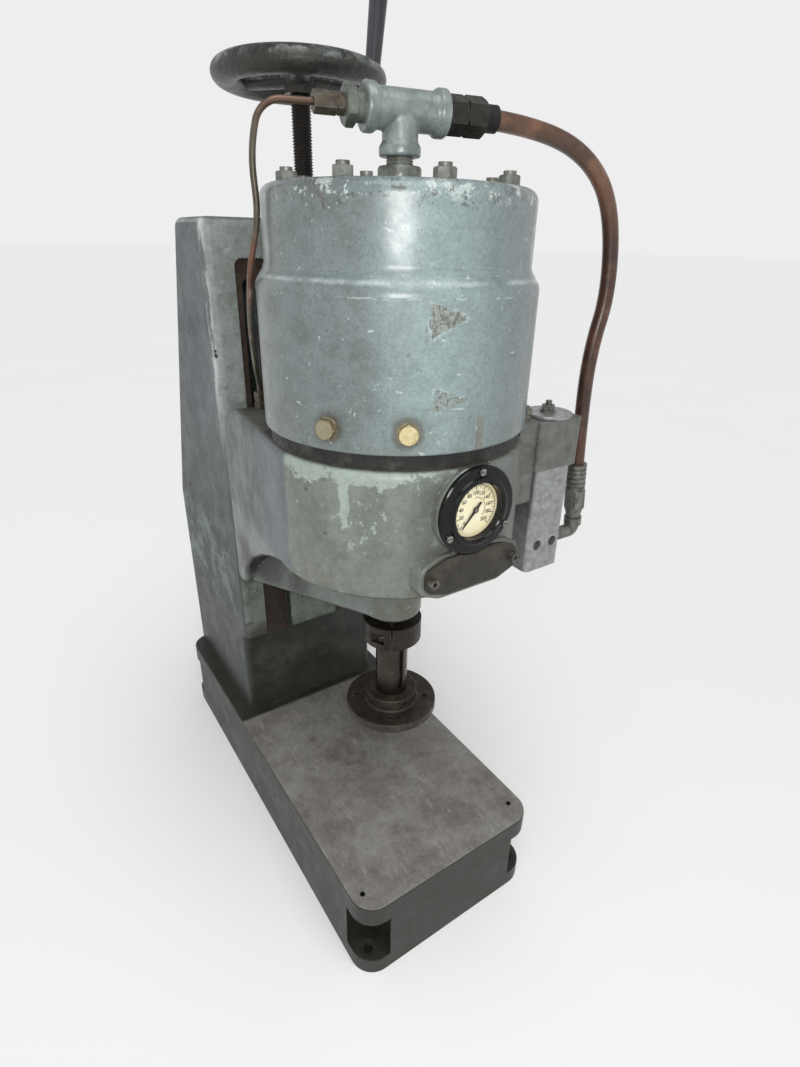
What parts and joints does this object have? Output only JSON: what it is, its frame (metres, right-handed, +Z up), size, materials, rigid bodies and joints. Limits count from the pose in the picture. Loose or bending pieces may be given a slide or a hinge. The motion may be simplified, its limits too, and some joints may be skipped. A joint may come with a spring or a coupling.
{
  "type": "stamping press",
  "caption": "Bench stamping press: cast C-frame with sliding head, air cylinder, round ram and platen, height screw with handwheel, pressure gauge, air hose and valve.",
  "frame": {"origin": "floor plane, midway between the four foot bolt holes", "axes": "+Z up, -Y is the front of the press, +X to the right seen from the front"},
  "size_m": [0.3401, 0.5534, 0.9401],
  "materials": {
    "casting_paint": "worn grey-green enamel",
    "cylinder_paint": "glossy grey-green enamel",
    "rusty_iron": "oxidised brown",
    "bare_steel": "machined, oiled",
    "dark_steel": "blackened, worn",
    "grey_steel": "dull",
    "brass": "dull",
    "bronze": "dull",
    "fitting_paint": "painted malleable iron",
    "dark_fitting": "dark green",
    "copper": "tarnished copper",
    "hose_rubber": "reddish-brown, shiny",
    "seal_rubber": "matt",
    "aluminium": "cast",
    "valve_grey": "grey",
    "gauge_black": "black",
    "dial_cream": "cream",
    "needle_black": "black",
    "glass": "clear",
    "cover_brown": "dark brown",
    "handle_black": "dark, polished by use",
    "wheel_paint": "dark, worn green paint"
  },
  "bodies": {
    "frame": {"press_frame": "casting_paint", "screw_bracket": "casting_paint", "bracket_screws": "dark_steel", "screw_nut": "bronze"},
    "head": {"head_casting": "casting_paint", "clamp_studs": "dark_steel", "clamp_plates": "dark_steel", "clamp_nuts": "dark_steel", "ram_bushes": "bronze", "screw_retainer": "dark_steel", "spacer_ring": "rusty_iron", "cylinder_casting": "cylinder_paint", "tie_studs": "grey_steel", "tie_nuts": "grey_steel", "vent_screws": "grey_steel", "port_plugs": "brass", "guide_screw": "dark_steel", "return_spring": "dark_steel", "pipe_coupling": "fitting_paint", "pipe_nipple": "fitting_paint", "pipe_tee": "fitting_paint", "tee_bushing": "dark_fitting", "tube_connector": "dark_steel", "tube_nut": "dark_steel", "hose_adaptor": "dark_fitting", "hose_swivel_nut": "dark_fitting", "hose_ferrule_top": "seal_rubber", "copper_tube": "copper", "deck_fitting": "brass", "air_hose": "hose_rubber", "hose_ferrule_low": "grey_steel", "hose_nut_low": "grey_steel", "valve_elbow": "grey_steel", "valve_body": "aluminium", "valve_block": "valve_grey", "valve_disc": "aluminium", "valve_bolt": "grey_steel", "valve_bracket": "valve_grey", "bracket_bolts": "grey_steel", "bracket_stud": "grey_steel", "gauge_case": "gauge_black", "gauge_dial": "dial_cream", "gauge_lens": "glass", "gauge_screws": "grey_steel", "cover_plate": "cover_brown", "cover_screws": "dark_steel"},
    "screw": {"elevating_screw": "dark_steel", "handwheel": "wheel_paint", "wheel_nut": "dark_steel", "handle_stud": "bare_steel"},
    "handle": {"crank_handle": "handle_black"},
    "ram": {"ram": "bare_steel", "piston": "aluminium", "piston_seal": "seal_rubber", "piston_nut": "dark_steel", "split_collar": "dark_steel", "collar_screw": "dark_steel", "platen": "rusty_iron", "platen_screw": "dark_steel"},
    "needle": {"gauge_needle": "needle_black"}
  },
  "joints": [
    {"name": "head_slide", "type": "slide", "parent": "frame", "child": "head", "axis": [0, 0, 1], "range_m": [-0.045, 0.06]},
    {"name": "screw_turn", "type": "hinge", "parent": "head", "child": "screw", "pos_m": [0, 0.0209, 0.7], "axis": [0, 0, 1], "range_deg": [-6377.95, 8503.94]},
    {"name": "handle_spin", "type": "hinge", "parent": "screw", "child": "handle", "pos_m": [0.05742, -0.02098, 0.88523], "axis": [0.0845, -0.0616, 0.9945], "continuous": true},
    {"name": "ram_slide", "type": "slide", "parent": "head", "child": "ram", "axis": [0, 0, -1], "range_m": [0, 0.07], "stiffness_N_per_m": 3000, "springref_m": -0.06, "deforming": ["return_spring"]},
    {"name": "needle_turn", "type": "hinge", "parent": "head", "child": "needle", "pos_m": [0, -0.264, 0.5095], "axis": [0, -1, 0], "range_deg": [-260, 10], "stiffness_Nm_per_rad": 0.0005}
  ],
  "couplings": [
    {"joint": "screw_turn", "follows": "head_slide", "rad_per_m": 2473.7}
  ]
}
